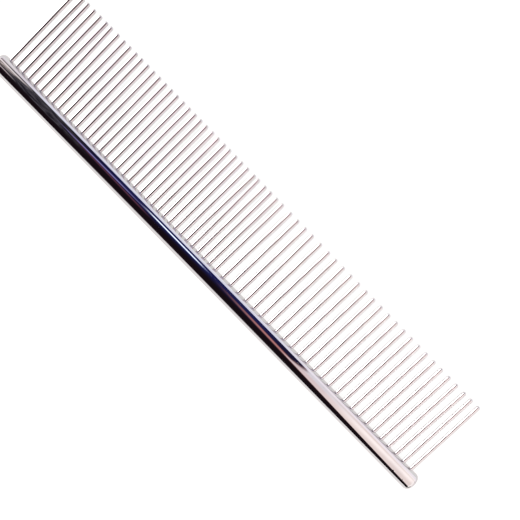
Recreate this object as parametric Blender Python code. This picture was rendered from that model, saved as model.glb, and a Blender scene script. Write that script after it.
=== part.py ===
"""A steel grooming comb: a round spine bar with fine pin teeth in one half and coarse in the other.

Metres, +Z up. The comb lies flat. The spine bar runs along X with its underside at Z = 0, and the
teeth point along +Y, the fine ones towards -X and the coarse ones towards +X. The origin is under the
middle of the comb's outline.
"""

import math

import bmesh
import bpy
from mathutils import Matrix, Vector

# Spine bar
SPINE_LENGTH = 0.190
SPINE_DIAMETER = 0.0062
SPINE_EDGE_RADIUS = 0.0015  # of the rounded edge at each end
SPINE_SIDES = 48
SPINE_EDGE_STEPS = 4

# Teeth
TOOTH_DIAMETER = 0.0015
TOOTH_EXPOSED = 0.0300  # from the spine bar's surface to the tip
TOOTH_ROOT = 0.0036  # inside the spine bar
TOOTH_SIDES = 12
TIP_RINGS = 2
FINE_COUNT = 36
FINE_PITCH = 0.00262
COARSE_COUNT = 26
COARSE_PITCH = 0.0035
FINE_PAIRS = 3  # the last fine teeth, which share a node two by two
FINE_END_MARGIN = 0.0032  # from the spine bar's left end to the first tooth

# Fits
FIT_GAP = 0.0003  # between a tooth and its hole
HOLE_SIDES = 16
HOLE_OVERRUN = 0.0010  # how far a cutter stands out of the spine bar
WEB_THICKNESS = 0.0006  # of the web that joins the two roots of a pair
WEB_HEIGHT = 0.0010
WEB_LIFT = 0.0002  # from the root's end to the web

# Derived
SPINE_RADIUS = SPINE_DIAMETER / 2
TOOTH_RADIUS = TOOTH_DIAMETER / 2
COMB_DEPTH = SPINE_DIAMETER + TOOTH_EXPOSED
SPINE_Y = SPINE_RADIUS - COMB_DEPTH / 2
AXIS_Z = SPINE_RADIUS
ROOT_Y = SPINE_Y + SPINE_RADIUS - TOOTH_ROOT
TOOTH_LENGTH = TOOTH_ROOT + TOOTH_EXPOSED
FIRST_FINE_X = FINE_END_MARGIN - SPINE_LENGTH / 2
FIRST_COARSE_X = FIRST_FINE_X + (FINE_COUNT - 1) * FINE_PITCH + COARSE_PITCH
LONE_FINE_COUNT = FINE_COUNT - 2 * FINE_PAIRS


def clear_scene():
    for obj in list(bpy.data.objects):
        bpy.data.objects.remove(obj, do_unlink=True)


def plated_steel(name, colour, roughness):
    material = bpy.data.materials.new(name)
    material.use_nodes = True
    shader = material.node_tree.nodes["Principled BSDF"]
    shader.inputs["Base Color"].default_value = (*colour, 1.0)
    shader.inputs["Metallic"].default_value = 1.0
    shader.inputs["Roughness"].default_value = roughness
    return material


def add_object(name, mesh, material=None):
    obj = bpy.data.objects.new(name, mesh)
    bpy.context.collection.objects.link(obj)
    if material:
        mesh.materials.clear()
        mesh.materials.append(material)
    return obj


def add_guide(name, mesh):
    """An object that only cuts or joins, and isn't a piece of the comb."""
    guide = add_object(name, mesh)
    guide.hide_render = True
    guide.display_type = "WIRE"
    return guide


def add_boolean(obj, operation, guide):
    modifier = obj.modifiers.new(guide.name, "BOOLEAN")
    modifier.operation = operation
    modifier.solver = "EXACT"
    modifier.object = guide


def turned_mesh(name, profile, sides, axis):
    """A closed solid turned about an axis through the origin. The profile runs as (along, radius)
    pairs from one point on the axis to another."""
    work = bmesh.new()
    side = axis.orthogonal().normalized()
    points = [work.verts.new(axis * along + side * radius) for along, radius in profile]
    edges = [work.edges.new(pair) for pair in zip(points, points[1:])]
    bmesh.ops.spin(
        work,
        geom=points + edges,
        cent=(0, 0, 0),
        axis=axis,
        angle=2 * math.pi,
        steps=sides,
        use_merge=True,
    )
    bmesh.ops.remove_doubles(work, verts=work.verts, dist=1e-7)
    bmesh.ops.recalc_face_normals(work, faces=work.faces)
    return finished_mesh(name, work)


def finished_mesh(name, work):
    mesh = bpy.data.meshes.new(name)
    work.to_mesh(mesh)
    work.free()
    mesh.shade_smooth()
    mesh.set_sharp_from_angle(angle=math.radians(40))
    return mesh


def quarter_round(centre_along, centre_radius, radius, start, steps):
    """Points of a quarter circle in a profile, from the start angle on, without its first point."""
    angles = [start + math.pi / 2 * step / steps for step in range(1, steps + 1)]
    return [
        (centre_along + radius * math.cos(angle), centre_radius + radius * math.sin(angle))
        for angle in angles
    ]


def spine_profile():
    """The bar's right end first: a flat disc, its rounded edge, the straight side and the left end."""
    flat = SPINE_RADIUS - SPINE_EDGE_RADIUS
    corner = SPINE_LENGTH / 2 - SPINE_EDGE_RADIUS
    right = quarter_round(corner, flat, SPINE_EDGE_RADIUS, 0, SPINE_EDGE_STEPS)
    left = [(-along, radius) for along, radius in reversed(right)]
    ends = SPINE_LENGTH / 2
    return [(ends, 0), (ends, flat), *right, *left, (-ends, flat), (-ends, 0)]


def tooth_profile():
    """From the domed tip's point down the side to the middle of the flat root end."""
    side_end = TOOTH_LENGTH - TOOTH_RADIUS
    dome = quarter_round(side_end, 0, TOOTH_RADIUS, 0, TIP_RINGS + 1)
    return [(TOOTH_LENGTH, 0), *dome, (0, TOOTH_RADIUS), (0, 0)]


def fine_x(index):
    return FIRST_FINE_X + index * FINE_PITCH


def coarse_x(index):
    return FIRST_COARSE_X + index * COARSE_PITCH


def tooth_places():
    return [fine_x(i) for i in range(FINE_COUNT)] + [coarse_x(i) for i in range(COARSE_COUNT)]


def pair_places():
    """Where the two teeth of each joined pair stand."""
    firsts = range(LONE_FINE_COUNT, FINE_COUNT, 2)
    return [(fine_x(first), fine_x(first + 1)) for first in firsts]


def hole_cutter_mesh():
    """A cylinder for each tooth, from the bottom of its blind hole to clear of the bar."""
    bottom = ROOT_Y - FIT_GAP
    top = SPINE_Y + SPINE_RADIUS + HOLE_OVERRUN
    along_y = Matrix.Rotation(math.pi / 2, 4, "X")
    work = bmesh.new()
    for x in tooth_places():
        middle = Matrix.Translation((x, (bottom + top) / 2, AXIS_Z))
        bmesh.ops.create_cone(
            work,
            cap_ends=True,
            segments=HOLE_SIDES,
            radius1=TOOTH_RADIUS + FIT_GAP,
            radius2=TOOTH_RADIUS + FIT_GAP,
            depth=top - bottom,
            matrix=middle @ along_y,
        )
    return finished_mesh("tooth_holes", work)


def web_mesh(name, places, growth):
    """A block between the roots of each pair, grown by the same amount on every face but its ends."""
    size_y = WEB_HEIGHT + 2 * growth
    size_z = WEB_THICKNESS + 2 * growth
    middle_y = ROOT_Y + WEB_LIFT + WEB_HEIGHT / 2
    work = bmesh.new()
    for left_x, right_x in places:
        middle = Matrix.Translation(((left_x + right_x) / 2, middle_y, AXIS_Z))
        size = Matrix.Diagonal((right_x - left_x, size_y, size_z, 1))
        bmesh.ops.create_cube(work, size=1, matrix=middle @ size)
    return finished_mesh(name, work)


def add_spine(material):
    mesh = turned_mesh("spine_bar", spine_profile(), SPINE_SIDES, Vector((1, 0, 0)))
    spine = add_object("spine_bar", mesh, material)
    spine.location = (0, SPINE_Y, AXIS_Z)
    add_boolean(spine, "DIFFERENCE", add_guide("tooth_holes", hole_cutter_mesh()))
    slots = web_mesh("web_slots", pair_places(), FIT_GAP)
    add_boolean(spine, "DIFFERENCE", add_guide("web_slots", slots))


def place_tooth(tooth, x):
    tooth.location = (x, ROOT_Y, AXIS_Z)


def add_lone_teeth(mesh, material):
    for index in range(LONE_FINE_COUNT):
        place_tooth(add_object(f"fine_tooth_{index + 1:02}", mesh, material), fine_x(index))
    for index in range(COARSE_COUNT):
        place_tooth(add_object(f"coarse_tooth_{index + 1:02}", mesh, material), coarse_x(index))


def add_paired_teeth(mesh, material):
    """Two teeth and the web between their roots, as one body."""
    for pair, (left_x, right_x) in enumerate(pair_places()):
        number = LONE_FINE_COUNT + 2 * pair + 1
        name = f"fine_teeth_{number:02}_{number + 1:02}"
        teeth = add_object(name, mesh, material)
        place_tooth(teeth, left_x)
        second = add_guide(f"{name}_second", mesh)
        place_tooth(second, right_x)
        web = add_guide(f"{name}_web", web_mesh(f"{name}_web", [(left_x, right_x)], 0))
        add_boolean(teeth, "UNION", web)
        add_boolean(teeth, "UNION", second)


def main():
    clear_scene()
    add_spine(plated_steel("plated_spine", (0.74, 0.74, 0.77), 0.06))
    tooth_mesh = turned_mesh("tooth", tooth_profile(), TOOTH_SIDES, Vector((0, 1, 0)))
    tooth_material = plated_steel("plated_teeth", (0.80, 0.79, 0.80), 0.12)
    add_lone_teeth(tooth_mesh, tooth_material)
    add_paired_teeth(tooth_mesh, tooth_material)


main()
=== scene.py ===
"""Looks for the steel grooming comb: polished, plated bar and pin teeth on a white table, from above."""

import math
import random

import bmesh
import bpy
from mathutils import Matrix, Vector


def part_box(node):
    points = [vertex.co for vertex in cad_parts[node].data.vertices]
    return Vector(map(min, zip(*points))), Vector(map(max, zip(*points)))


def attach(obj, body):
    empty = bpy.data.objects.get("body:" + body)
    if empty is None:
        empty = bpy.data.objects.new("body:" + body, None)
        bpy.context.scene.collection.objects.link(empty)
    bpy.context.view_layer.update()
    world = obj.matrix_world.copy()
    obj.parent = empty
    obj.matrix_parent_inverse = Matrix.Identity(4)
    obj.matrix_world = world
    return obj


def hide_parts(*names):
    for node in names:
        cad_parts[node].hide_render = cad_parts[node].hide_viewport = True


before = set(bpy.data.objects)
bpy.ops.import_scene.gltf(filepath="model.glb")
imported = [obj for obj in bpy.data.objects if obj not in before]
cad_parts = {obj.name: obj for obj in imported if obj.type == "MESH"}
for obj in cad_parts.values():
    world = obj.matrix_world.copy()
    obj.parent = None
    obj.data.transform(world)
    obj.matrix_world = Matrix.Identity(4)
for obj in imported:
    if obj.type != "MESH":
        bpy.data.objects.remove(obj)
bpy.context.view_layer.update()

MM = 0.001
BODY = "root"

# Sizes that come from the frame
SPINE_LOW, SPINE_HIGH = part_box("spine_bar")
SPINE_CENTRE = (SPINE_LOW + SPINE_HIGH) / 2
SPINE_LENGTH = SPINE_HIGH.x - SPINE_LOW.x
SPINE_RADIUS = (SPINE_HIGH.z - SPINE_LOW.z) / 2
TOOTH_LOW, TOOTH_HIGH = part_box("fine_tooth_01")
TOOTH_RADIUS = (TOOTH_HIGH.z - TOOTH_LOW.z) / 2
SURFACE_Y = SPINE_HIGH.y  # where the teeth come out of the bar

# Bar
SPINE_SIDES = 160
SPINE_EDGE_RADIUS = 1.5 * MM
SPINE_EDGE_STEPS = 10
SPINE_FLAT = SPINE_RADIUS - SPINE_EDGE_RADIUS  # radius of the flat disc at each end
SPINE_CORNER = SPINE_LENGTH / 2 - SPINE_EDGE_RADIUS  # from the bar's middle to its rounded edge
HOLE_FIT = 0.02 * MM  # the real, tight fit between a tooth and its hole
DRILL_OVERRUN = 1 * MM  # how far a drill stands out of the bar
SIDE_TOLERANCE = 0.02 * MM  # how far off the true radius a point of the bar's side may be
END_TOLERANCE = 0.001 * MM  # the same for its rounded edges

# Teeth
TOOTH_SIDES = 32
DOME_STEPS = 9
SHAFT_STEPS = 14
SHARP_ANGLE = 50.0
FILLET_RADIUS = 0.22 * MM  # of the plating built up round a tooth's root
FILLET_STEPS = 6
FILLET_SINK = 0.02 * MM  # from the bar's surface down to the fillet's rim
FILLET_DEPTH = 0.35 * MM  # from the bar's surface down to where the fillet leaves the tooth

# Teeth that are bent a little along the row: how far their tips stand from where they should
BENT_TIPS = {
    "fine_tooth_02": 0.40 * MM,
    "fine_tooth_07": -0.45 * MM,
    "fine_tooth_27": -0.25 * MM,
    "fine_tooth_31": 0.35 * MM,
    "fine_tooth_32": -0.40 * MM,
    "coarse_tooth_01": 0.30 * MM,
    "coarse_tooth_04": -0.30 * MM,
    "coarse_tooth_24": 0.30 * MM,
    "coarse_tooth_26": -0.20 * MM,
}
USUAL_BEND = 0.12 * MM  # the most that any other tooth is bent, either way
BEND_POWER = 1.6  # a tooth leans more and more towards its tip
SEED = 19

# Small lumps in the bar's plating: x, angle from the top towards the teeth, radius and height
NIBS = {
    "plating_nib_1": (86.6 * MM, -16.0, 0.42 * MM, 0.022 * MM),
    "plating_nib_2": (90.8 * MM, -12.0, 0.40 * MM, 0.020 * MM),
}
NIB_SIDES = 20
NIB_RINGS = 6
NIB_SINK = 0.002 * MM
NIB_STRETCH = 1.4  # how much longer than wide a lump is, along the bar

# Plating: how fine its patterns are, in noise cells for each metre
POLISH_SCALE_ACROSS = 9000.0
POLISH_SCALE_ALONG = 120.0
CLOUD_SCALE = 160.0
WIPE_SCALE = 900.0
PIT_SCALE = 2600.0
PLATING_ROUGHNESS = (0.03, 0.07)  # where it is wiped clean, and where it is dull
PIT_COLOUR = (0.40, 0.38, 0.39, 1.0)
GRAZING_TINT = (1.0, 0.91, 0.90, 1.0)
SCRATCH_DEPTH = 0.0006 * MM
WAVE_DEPTH = 0.007 * MM
SHINE = 0.60  # the share of light that the plating mirrors

# Reflector card over the comb. Its places are measured from the middle of the bar
CARD_HEIGHT = 215 * MM
CARD_LOW = Vector((0.0, -480 * MM))
CARD_HIGH = Vector((600 * MM, 480 * MM))
CARD_CORNER = Vector((64.5 * MM, -14 * MM))  # where its left edge meets its slanted one
CARD_LEFT_LEAN = 0.148  # of the left edge, in X for each unit of Y
CARD_SLANT = -1.73  # of the slanted edge, in Y for each unit of X
CLOTH_START = 98 * MM  # Y of the red cloth's middle line at X = 0
CLOTH_SLANT = -1.32  # of that line, in Y for each unit of X
CLOTH_HALF_WIDTH = 74 * MM

# Table
TABLE_HALF_SIZE = 4.0
TABLE_GAP = 0.02 * MM  # from the table up to the bar

# Camera
CAMERA_HEIGHT = 275 * MM  # above the bar's axis
CAMERA_OFFSET = Vector((-8.08 * MM, 48.45 * MM))  # from the middle of the bar
AIM_OFFSET = Vector((7.61 * MM, 15.36 * MM))
CAMERA_ROLL = 46.15
LENS = 60.24
SENSOR = 36.0


def linear(red, green, blue):
    """Linear light for a colour given in display values. 255 is white, and lamps go past it."""
    def one(value):
        share = value / 255
        return share / 12.92 if share <= 0.04045 else ((share + 0.055) / 1.055) ** 2.4
    return (one(red), one(green), one(blue), 1.0)


# ---------------------------------------------------------------- shader nodes


def add_node(tree, kind, inputs=None, **settings):
    node = tree.nodes.new(kind)
    for name, value in settings.items():
        setattr(node, name, value)
    for key, value in (inputs or {}).items():
        if isinstance(value, bpy.types.NodeSocket):
            tree.links.new(value, node.inputs[key])
        else:
            node.inputs[key].default_value = value
    return node


def calc(tree, operation, *values):
    return add_node(tree, "ShaderNodeMath", dict(enumerate(values)), operation=operation).outputs[0]


def product(tree, *shares):
    result = shares[0]
    for share in shares[1:]:
        result = calc(tree, "MULTIPLY", result, share)
    return result


def past_line(tree, value, other, start, rise):
    """How far value is past the line start + rise * other."""
    return calc(tree, "SUBTRACT", value, calc(tree, "MULTIPLY_ADD", other, rise, start))


def smooth(tree, value, start, end, low=0.0, high=1.0):
    """A smooth step from low at start to high at end."""
    inputs = {"Value": value, "From Min": start, "From Max": end, "To Min": low, "To Max": high}
    return add_node(tree, "ShaderNodeMapRange", inputs, interpolation_type="SMOOTHSTEP").outputs[0]


def ridge(tree, value, middle, half_width):
    """1 at the middle, falling smoothly to 0 at half_width on both sides."""
    away = calc(tree, "ABSOLUTE", calc(tree, "SUBTRACT", value, middle))
    return smooth(tree, away, 0.0, half_width, 1.0, 0.0)


def layer(tree, under, over, share):
    """The colour over laid on the colour under by share."""
    inputs = {0: share, 6: under, 7: over}
    return add_node(tree, "ShaderNodeMix", inputs, data_type="RGBA").outputs[2]


def mixed(tree, first, second, share):
    """One shader turning into another by share."""
    return add_node(tree, "ShaderNodeMixShader", {0: share, 1: first, 2: second}).outputs[0]


def noise(tree, vector, scale, detail, roughness):
    inputs = {"Vector": vector, "Scale": scale, "Detail": detail, "Roughness": roughness}
    return add_node(tree, "ShaderNodeTexNoise", inputs).outputs["Fac"]


def stretched(tree, vector, scale):
    return add_node(tree, "ShaderNodeMapping", {"Vector": vector, "Scale": scale}).outputs[0]


def new_material(name):
    """A new material, its node tree, and the place of a point on the object."""
    material = bpy.data.materials.new(name)
    material.use_nodes = True
    tree = material.node_tree
    tree.nodes.clear()
    return material, tree, add_node(tree, "ShaderNodeTexCoord").outputs["Object"]


# ---------------------------------------------------------------- materials


def plated_material(name, colour, tint, along):
    """Bright plating: clouded colour, polishing lines along one axis, wipe marks and small pits."""
    material, tree, place = new_material(name)
    polish_scale = [POLISH_SCALE_ACROSS] * 3
    polish_scale[along] = POLISH_SCALE_ALONG
    lines = noise(tree, stretched(tree, place, polish_scale), 1.0, 3.0, 0.6)
    clouds = noise(tree, place, CLOUD_SCALE, 4.0, 0.55)
    wipes = noise(tree, place, WIPE_SCALE, 6.0, 0.65)
    pits = smooth(tree, noise(tree, place, PIT_SCALE, 2.0, 0.4), 0.73, 0.80)
    base = layer(tree, colour, tint, smooth(tree, clouds, 0.35, 0.70))
    base = layer(tree, base, PIT_COLOUR, calc(tree, "MULTIPLY", pits, 0.4))
    clean, dull = PLATING_ROUGHNESS
    roughness = calc(tree, "ADD", smooth(tree, wipes, 0.45, 0.75, clean, dull),
                     calc(tree, "MULTIPLY", pits, 0.25))
    roughness = calc(tree, "ADD", roughness, smooth(tree, lines, 0.5, 0.8, 0.0, clean))
    relief = calc(tree, "SUBTRACT", calc(tree, "MULTIPLY", lines, 0.4),
                  calc(tree, "MULTIPLY", pits, 0.5))
    bump = add_node(tree, "ShaderNodeBump",
                    {"Height": relief, "Strength": 0.35, "Distance": SCRATCH_DEPTH})
    wave = add_node(tree, "ShaderNodeBump",
                    {"Height": clouds, "Strength": 0.5, "Distance": WAVE_DEPTH,
                     "Normal": bump.outputs[0]})
    shader = add_node(tree, "ShaderNodeBsdfPrincipled",
                      {"Base Color": base, "Metallic": 1.0, "Roughness": roughness,
                       "Specular Tint": GRAZING_TINT, "Normal": wave.outputs[0]})
    add_node(tree, "ShaderNodeOutputMaterial", {0: shader.outputs[0]})
    return material


def spine_material():
    return plated_material("plated_spine", (0.61, 0.605, 0.61, 1.0), (0.58, 0.575, 0.585, 1.0), 0)


def teeth_material():
    return plated_material("plated_teeth", (0.61, 0.60, 0.605, 1.0), (0.575, 0.56, 0.57, 1.0), 1)


def table_material():
    """A white table that glows by its own emission. Painted light: the glow is made a little brighter
    beyond the tips of the teeth and behind the bar.
    """
    material, tree, place = new_material("white_table")
    grain = noise(tree, place, 30.0, 4.0, 0.5)
    colour = layer(tree, (0.985, 0.985, 0.98, 1.0), (1.0, 1.0, 0.995, 1.0), grain)
    y = add_node(tree, "ShaderNodeSeparateXYZ", {0: place}).outputs[1]
    # painted light: the table's glow rises beyond the teeth's tips and a little behind the bar
    light = calc(tree, "ADD", smooth(tree, y, 25 * MM, 60 * MM, 0.9, 1.2),
                 smooth(tree, y, -22 * MM, -32 * MM, 0.0, 0.1))
    shader = add_node(tree, "ShaderNodeBsdfPrincipled",
                      {"Base Color": (0.12, 0.12, 0.12, 1.0), "Roughness": 0.6,
                       "Specular IOR Level": 0.0, "Emission Color": colour,
                       "Emission Strength": light})
    add_node(tree, "ShaderNodeOutputMaterial", {0: shader.outputs[0]})
    return material


# ---------------------------------------------------------------- meshes


def rounded_corner(centre_along, centre_radius, radius, steps):
    """Profile points of a quarter circle, from the end face round to the side."""
    angles = [math.pi / 2 * step / steps for step in range(steps + 1)]
    return [(centre_along + radius * math.cos(a), centre_radius + radius * math.sin(a)) for a in angles]


def turned(profile, sides, axis):
    """A bmesh turned about an axis through the origin, from (along, radius) pairs."""
    work = bmesh.new()
    side = axis.orthogonal().normalized()
    points = [work.verts.new(axis * along + side * radius) for along, radius in profile]
    edges = [work.edges.new(pair) for pair in zip(points, points[1:])]
    bmesh.ops.spin(work, geom=points + edges, cent=(0, 0, 0), axis=axis, angle=2 * math.pi,
                   steps=sides, use_merge=True)
    bmesh.ops.remove_doubles(work, verts=work.verts, dist=1e-8)
    bmesh.ops.recalc_face_normals(work, faces=work.faces)
    return work


def add_mesh_object(name, work, material=None):
    mesh = bpy.data.meshes.new(name)
    work.to_mesh(mesh)
    work.free()
    obj = bpy.data.objects.new(name, mesh)
    bpy.context.scene.collection.objects.link(obj)
    if material:
        mesh.materials.append(material)
    return obj


def spine_profile():
    end = SPINE_LENGTH / 2
    right = rounded_corner(SPINE_CORNER, SPINE_FLAT, SPINE_EDGE_RADIUS, SPINE_EDGE_STEPS)
    left = [(-along, radius) for along, radius in reversed(right)]
    return [(end, 0.0), *right, *left, (-end, 0.0)]


def hole_drills(teeth):
    """Cylinders a little wider than the teeth, from their root ends to clear of the bar."""
    work = bmesh.new()
    low = TOOTH_LOW.y - HOLE_FIT
    high = SURFACE_Y + DRILL_OVERRUN
    turn = Matrix.Rotation(math.pi / 2, 4, "X")
    for _, x, _ in teeth:
        place = Matrix.Translation((x, (low + high) / 2, SPINE_CENTRE.z))
        bmesh.ops.create_cone(work, cap_ends=True, segments=TOOTH_SIDES,
                              radius1=TOOTH_RADIUS + HOLE_FIT, radius2=TOOTH_RADIUS + HOLE_FIT,
                              depth=high - low, matrix=place @ turn)
    return add_mesh_object("hole_drills", work)


def spine_normal(face, point):
    """The true round normal at a point of the bar's outside, and a flat one inside its holes. The
    point is measured from the bar's middle."""
    out = Vector((0.0, point.y, point.z))
    on_side = abs(out.length - SPINE_RADIUS) < SIDE_TOLERANCE
    if on_side and abs(face.normal.x) < 0.02 and face.normal.dot(out) > 0.9 * out.length:
        return out.normalized()
    if abs(point.x) > SPINE_CORNER - END_TOLERANCE and out.length > SPINE_FLAT - END_TOLERANCE:
        corner = Vector((math.copysign(SPINE_CORNER, point.x), 0, 0))
        return (point - (out.normalized() * SPINE_FLAT + corner)).normalized()
    return face.normal.copy()


def add_spine(teeth, material):
    spine = add_mesh_object("spine_bar_finish", turned(spine_profile(), SPINE_SIDES, Vector((1, 0, 0))))
    spine.data.transform(Matrix.Translation(SPINE_CENTRE))
    drills = hole_drills(teeth)
    cut = spine.modifiers.new("holes", "BOOLEAN")
    cut.operation = "DIFFERENCE"
    cut.solver = "EXACT"
    cut.object = drills
    graph = bpy.context.evaluated_depsgraph_get()
    drilled = bpy.data.meshes.new_from_object(spine.evaluated_get(graph))
    spine.modifiers.clear()
    spine.data = drilled
    bpy.data.objects.remove(drills)
    drilled.materials.clear()
    drilled.materials.append(material)
    drilled.shade_smooth()
    drilled.normals_split_custom_set([
        spine_normal(face, drilled.vertices[index].co - SPINE_CENTRE)
        for face in drilled.polygons
        for index in face.vertices
    ])
    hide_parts("spine_bar")
    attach(spine, BODY)


def tooth_profile():
    """Root end, plating fillet at the bar's surface, shaft and dome. Along is world Y."""
    angles = [math.pi / 2 * step / FILLET_STEPS for step in range(FILLET_STEPS + 1)]
    fillet = [
        (SURFACE_Y + FILLET_RADIUS * (1 - math.cos(a)), TOOTH_RADIUS + FILLET_RADIUS * (1 - math.sin(a)))
        for a in angles
    ]
    start = SURFACE_Y + FILLET_RADIUS
    stop = TOOTH_HIGH.y - TOOTH_RADIUS
    shaft = [(start + (stop - start) * k / SHAFT_STEPS, TOOTH_RADIUS) for k in range(1, SHAFT_STEPS)]
    dome = reversed(rounded_corner(stop, 0.0, TOOTH_RADIUS, DOME_STEPS))
    return [(TOOTH_LOW.y, 0.0), (TOOTH_LOW.y, TOOTH_RADIUS), (SURFACE_Y - FILLET_DEPTH, TOOTH_RADIUS),
            (SURFACE_Y - FILLET_SINK, TOOTH_RADIUS + FILLET_RADIUS), *fillet, *shaft, *dome]


def add_tooth(name, x, nodes, bend, material):
    """A tooth whose fillet follows the bar's round surface, and which leans along the row by bend at
    its tip."""
    work = turned(tooth_profile(), TOOTH_SIDES, Vector((0, 1, 0)))
    for vert in work.verts:
        above = vert.co.y - SURFACE_Y
        in_fillet = max(0.0, 1 - abs(above) / (2 * FILLET_RADIUS))
        drop = SPINE_RADIUS - math.sqrt(SPINE_RADIUS**2 - vert.co.z**2)
        vert.co.y -= drop * in_fillet
        vert.co.x += bend * (max(0.0, above) / (TOOTH_HIGH.y - SURFACE_Y)) ** BEND_POWER
    tooth = add_mesh_object(name, work, material)
    tooth.data.transform(Matrix.Translation((x, 0.0, SPINE_CENTRE.z)))
    tooth.data.shade_smooth()
    tooth.data.set_sharp_from_angle(angle=math.radians(SHARP_ANGLE))
    if nodes:
        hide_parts(*nodes)
    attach(tooth, BODY)


def tooth_list():
    """(name, x, CAD nodes it stands for) of all the teeth. A pair's node goes with its first tooth."""
    teeth = []
    for node in sorted(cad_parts):
        low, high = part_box(node)
        if node.startswith("fine_teeth"):
            first, second = node.split("_")[2:]
            teeth.append((f"fine_tooth_{first}", low.x + TOOTH_RADIUS, [node]))
            teeth.append((f"fine_tooth_{second}", high.x - TOOTH_RADIUS, []))
        elif "tooth" in node:
            teeth.append((node, (low.x + high.x) / 2, [node]))
    return teeth


def add_nib(name, x, angle, radius, height, material):
    """A small lump in the plating: a lens-shaped body, its lower half sunk in the bar."""
    work = bmesh.new()

    def add_point(side, share, turn):
        out = SPINE_RADIUS + side * height * (1 - share**2) ** 2 - NIB_SINK
        around = angle + radius * share * math.sin(turn) / SPINE_RADIUS
        along = NIB_STRETCH * radius * share * math.cos(turn)
        return work.verts.new((x + along, out * math.sin(around), out * math.cos(around)))

    turns = [2 * math.pi * k / NIB_SIDES for k in range(NIB_SIDES)]
    upper = [(1, step / NIB_RINGS) for step in range(1, NIB_RINGS + 1)]
    lower = [(-1, 1 - step / NIB_RINGS) for step in range(1, NIB_RINGS)]
    rings = [[add_point(side, share, turn) for turn in turns] for side, share in upper + lower]
    for inner, outer in zip(rings, rings[1:]):
        for k in range(NIB_SIDES):
            work.faces.new((inner[k - 1], inner[k], outer[k], outer[k - 1]))
    for side, ring in ((1, rings[0]), (-1, rings[-1])):
        middle = add_point(side, 0.0, 0.0)
        for k in range(NIB_SIDES):
            work.faces.new((ring[k - 1], ring[k], middle))
    bmesh.ops.recalc_face_normals(work, faces=work.faces)
    nib = add_mesh_object(name, work, material)
    nib.data.transform(Matrix.Translation((0.0, SPINE_CENTRE.y, SPINE_CENTRE.z)))
    nib.data.shade_smooth()
    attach(nib, BODY)


def add_comb():
    teeth = tooth_list()
    plating = spine_material()
    add_spine(teeth, plating)
    for name, (x, angle, radius, height) in NIBS.items():
        add_nib(name, x, math.radians(angle), radius, height, plating)
    material = teeth_material()
    chance = random.Random(SEED)
    for name, x, nodes in teeth:
        bend = BENT_TIPS.get(name, chance.uniform(-USUAL_BEND, USUAL_BEND))
        add_tooth(f"{name}_finish", x, nodes, bend, material)


# ---------------------------------------------------------------- the room that the plating mirrors
# Here across is a direction's angle from straight up towards the teeth's side, in degrees, and slope
# is how far it leans along the bar. Colours are as the plating shows them.


def directions(tree):
    """across and slope of the direction that is looked up."""
    direction = add_node(tree, "ShaderNodeTexCoord").outputs["Generated"]
    dx, dy, dz = add_node(tree, "ShaderNodeSeparateXYZ", {0: direction}).outputs
    across = calc(tree, "MULTIPLY", calc(tree, "ARCTAN2", dy, dz), 180 / math.pi)
    upright = calc(tree, "SQRT", calc(tree, "ADD", calc(tree, "MULTIPLY", dy, dy),
                                      calc(tree, "MULTIPLY", dz, dz)))
    slope = calc(tree, "DIVIDE", dx, calc(tree, "MAXIMUM", upright, 0.001))
    return across, slope


def roof_flecks(tree, across, slope):
    """Where small flecks stand on the roof, from 0 to 1. The bar draws them out along itself."""
    place = add_node(tree, "ShaderNodeCombineXYZ",
                     {0: calc(tree, "MULTIPLY", slope, 95.0), 1: calc(tree, "MULTIPLY", across, 0.07)})
    return smooth(tree, noise(tree, place.outputs[0], 1.0, 2.0, 0.6), 0.45, 0.56)


def dark_roof(tree, across, slope, flecks):
    """The dark roof, which turns blue towards the teeth's side and is flecked on the left."""
    blue = product(tree, smooth(tree, across, -25.0, 50.0), smooth(tree, slope, -0.22, -0.10),
                   smooth(tree, slope, 0.16, 0.10, 0.35, 1.0))
    colour = layer(tree, linear(21, 13, 18), linear(27, 29, 76), blue)
    flecked = product(tree, smooth(tree, slope, -0.15, -0.24), smooth(tree, across, -34.0, -16.0))
    return layer(tree, colour, layer(tree, linear(20, 17, 26), linear(76, 73, 80), flecks), flecked)


def roof_lamp(tree, colour, across, slope):
    """A dim red line, then the lamp: a violet stretch, and a bright blue-white one with its glow."""
    red_line = past_line(tree, across, slope, -12.0, -110.0)
    red = product(tree, ridge(tree, red_line, 0.0, 13.0),
                  smooth(tree, slope, -0.20, -0.15), smooth(tree, slope, -0.06, -0.09))
    colour = layer(tree, colour, linear(88, 50, 64), red)
    violet_line = past_line(tree, across, slope, 31.0, 60.0)
    violet = product(tree, ridge(tree, violet_line, 0.0, 8.5),
                     smooth(tree, slope, -0.225, -0.17), smooth(tree, slope, -0.085, -0.125, 0.4, 1.0),
                     smooth(tree, slope, -0.05, -0.08))
    colour = layer(tree, colour, linear(140, 132, 192), violet)
    glow = product(tree, ridge(tree, across, 34.0, 20.0),
                   smooth(tree, slope, -0.085, -0.04), smooth(tree, slope, 0.035, 0.0))
    colour = layer(tree, colour, linear(62, 72, 152), glow)
    lamp = product(tree, ridge(tree, across, 34.0, 9.0),
                   smooth(tree, slope, -0.085, -0.055), smooth(tree, slope, 0.025, 0.0))
    return layer(tree, colour, linear(290, 305, 315), lamp)


def roof_end(tree, colour, across, slope, flecks):
    """The pale end of the roof on the left, with a bright band in it and a thin line beside it."""
    edge = past_line(tree, slope, across, -0.307, 0.0008)
    patch = product(tree, smooth(tree, edge, 0.010, -0.012), smooth(tree, across, -9.0, -4.0),
                    smooth(tree, across, 57.0, 54.0))
    pale = layer(tree, linear(34, 24, 26), linear(212, 198, 194), flecks)
    pale = layer(tree, pale, linear(238, 229, 231), ridge(tree, across, 43.0, 13.0))
    colour = layer(tree, colour, pale, patch)
    line = product(tree, ridge(tree, across, -14.0, 6.0), smooth(tree, slope, -0.280, -0.298))
    return layer(tree, colour, linear(215, 200, 202), line)


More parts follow.
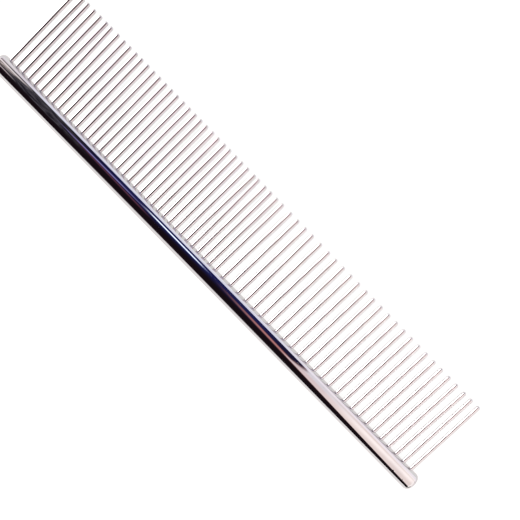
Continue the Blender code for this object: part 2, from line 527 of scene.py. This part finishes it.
def front_wall(tree, colour, across, slope):
    """The pale wall on the teeth's side, with a dark rim over it on the left."""
    wall = layer(tree, linear(232, 234, 250), linear(208, 208, 226), smooth(tree, across, 63.0, 76.0))
    wall = layer(tree, wall, linear(226, 226, 236), smooth(tree, across, 78.0, 88.0))
    wall = layer(tree, wall, linear(238, 228, 235), smooth(tree, slope, 0.10, 0.26))
    wall = layer(tree, wall, linear(212, 204, 210), smooth(tree, slope, -0.24, -0.29))
    colour = layer(tree, colour, wall, smooth(tree, across, 63.6, 65.8))
    rim = product(tree, ridge(tree, across, 61.0, 6.0), smooth(tree, slope, -0.215, -0.255))
    return layer(tree, colour, linear(34, 30, 36), rim)


def end_walls(tree, colour, across, slope):
    """The pale walls at the far left and right. Low on the left, in line with the comb, the roof's
    dark runs on down to a very bright soft box, which draws crisp lines on the teeth."""
    window = product(tree, smooth(tree, across, 30.0, 10.0), smooth(tree, across, -60.0, -45.0))
    round_window = calc(tree, "SUBTRACT", 1.0, window)
    left = product(tree, smooth(tree, slope, -0.70, -0.80), round_window)
    colour = layer(tree, colour, linear(228, 220, 222), left)
    soft_box = product(tree, window, smooth(tree, slope, -1.45, -1.65))
    colour = layer(tree, colour, linear(560, 548, 552), soft_box)
    return layer(tree, colour, linear(228, 212, 212), smooth(tree, slope, 1.6, 2.2))


def back_wall_foot(tree, colour, across, slope):
    """The pale foot of the wall behind the bar. The roof's dark runs down as far as that."""
    foot = product(tree, smooth(tree, across, -79.0, -85.0), ridge(tree, slope, -0.01, 0.22))
    return layer(tree, colour, linear(214, 204, 206), foot)


def studio_world():
    """A tent round the comb. The plating mirrors it, and the camera sees plain white."""
    world = bpy.data.worlds.new("studio")
    bpy.context.scene.world = world
    world.use_nodes = True
    tree = world.node_tree
    tree.nodes.clear()
    across, slope = directions(tree)
    flecks = roof_flecks(tree, across, slope)
    colour = dark_roof(tree, across, slope, flecks)
    colour = roof_lamp(tree, colour, across, slope)
    colour = roof_end(tree, colour, across, slope, flecks)
    colour = front_wall(tree, colour, across, slope)
    colour = end_walls(tree, colour, across, slope)
    colour = back_wall_foot(tree, colour, across, slope)
    tent = add_node(tree, "ShaderNodeBackground", {"Color": colour, "Strength": 1 / SHINE})
    plain = add_node(tree, "ShaderNodeBackground", {"Color": (1.0, 1.0, 1.0, 1.0), "Strength": 1.0})
    seen = add_node(tree, "ShaderNodeLightPath").outputs["Is Camera Ray"]
    choice = mixed(tree, tent.outputs[0], plain.outputs[0], seen)
    add_node(tree, "ShaderNodeOutputWorld", {0: choice})


def card_material():
    """A cream reflector with a slanted edge, and a dull red cloth on its left. Elsewhere it is clear."""
    material, tree, place = new_material("cream_reflector")
    x, y, _ = add_node(tree, "ShaderNodeSeparateXYZ", {0: place}).outputs
    left = past_line(tree, x, y, CARD_CORNER.x - CARD_LEFT_LEAN * CARD_CORNER.y, CARD_LEFT_LEAN)
    low = past_line(tree, y, x, CARD_CORNER.y - CARD_SLANT * CARD_CORNER.x, CARD_SLANT)
    cream_share = product(tree, smooth(tree, left, -5 * MM, 5 * MM),
                          smooth(tree, low, -10 * MM, 10 * MM))
    cloth_line = past_line(tree, y, x, CLOTH_START, CLOTH_SLANT)
    cloth_share = product(tree, ridge(tree, cloth_line, 0.0, CLOTH_HALF_WIDTH),
                          smooth(tree, x, 8 * MM, 56 * MM))
    cream = layer(tree, linear(226, 210, 206), linear(255, 243, 240),
                  ridge(tree, y, 115 * MM, 190 * MM))
    left_cream = layer(tree, linear(212, 192, 194), linear(214, 209, 216),
                       smooth(tree, y, 60 * MM, 190 * MM))
    cream = layer(tree, left_cream, cream, smooth(tree, left, 8 * MM, 66 * MM))
    cream = layer(tree, cream, linear(250, 243, 240), smooth(tree, x, 190 * MM, 260 * MM))
    colour = layer(tree, linear(180, 120, 117), cream, cream_share)
    clear = add_node(tree, "ShaderNodeBsdfTransparent")
    bright = add_node(tree, "ShaderNodeEmission", {"Color": colour, "Strength": 1 / SHINE})
    share = calc(tree, "MAXIMUM", cream_share, cloth_share)
    surface = mixed(tree, clear.outputs[0], bright.outputs[0], share)
    add_node(tree, "ShaderNodeOutputMaterial", {0: surface})
    return material


def add_card():
    corners = [(CARD_LOW.x, CARD_LOW.y), (CARD_HIGH.x, CARD_LOW.y),
               (CARD_HIGH.x, CARD_HIGH.y), (CARD_LOW.x, CARD_HIGH.y)]
    work = bmesh.new()
    work.faces.new([work.verts.new((x, y, 0.0)) for x, y in corners])
    card = add_mesh_object("reflector_card", work, card_material())
    card.location = (0.0, SPINE_CENTRE.y, SPINE_CENTRE.z + CARD_HEIGHT)
    card.visible_camera = False
    card.visible_shadow = False


# ---------------------------------------------------------------- table, lamp and camera


def add_table():
    work = bmesh.new()
    bmesh.ops.create_grid(work, x_segments=8, y_segments=8, size=TABLE_HALF_SIZE)
    table = add_mesh_object("white_table", work, table_material())
    table.location = (0.0, 0.0, -TABLE_GAP)


def add_lamp(name, place, size, watts):
    """A soft lamp for the table, which the plating doesn't mirror."""
    light = bpy.data.lights.new(name, "AREA")
    light.shape = "DISK"
    light.size = size
    light.energy = watts
    lamp = bpy.data.objects.new(name, light)
    bpy.context.scene.collection.objects.link(lamp)
    lamp.location = place
    lamp.rotation_euler = Vector(place).to_track_quat("Z", "Y").to_euler()
    lamp.visible_glossy = False
    lamp.visible_camera = False


def add_camera():
    data = bpy.data.cameras.new("camera")
    data.lens = LENS
    data.sensor_width = SENSOR
    data.clip_start = 0.01
    camera = bpy.data.objects.new("camera", data)
    bpy.context.scene.collection.objects.link(camera)
    spot = Vector((CAMERA_OFFSET.x, SPINE_CENTRE.y + CAMERA_OFFSET.y, SPINE_CENTRE.z + CAMERA_HEIGHT))
    aim = Vector((AIM_OFFSET.x, SPINE_CENTRE.y + AIM_OFFSET.y, SPINE_CENTRE.z))
    back = (spot - aim).normalized()
    right = Vector((0, 1, 0)).cross(back).normalized()
    up = back.cross(right)
    turn = math.radians(CAMERA_ROLL)
    rolled_right = right * math.cos(turn) + up * math.sin(turn)
    rolled_up = up * math.cos(turn) - right * math.sin(turn)
    facing = Matrix((rolled_right, rolled_up, back)).transposed().to_4x4()
    camera.matrix_world = Matrix.Translation(spot) @ facing
    bpy.context.scene.camera = camera


def add_studio():
    studio_world()
    add_card()
    add_table()
    add_lamp("lamp_over", place=(0.0, 0.1, 1.4), size=1.6, watts=22.0)
    add_camera()
    bpy.context.scene.view_settings.view_transform = "Standard"


add_comb()
add_studio()
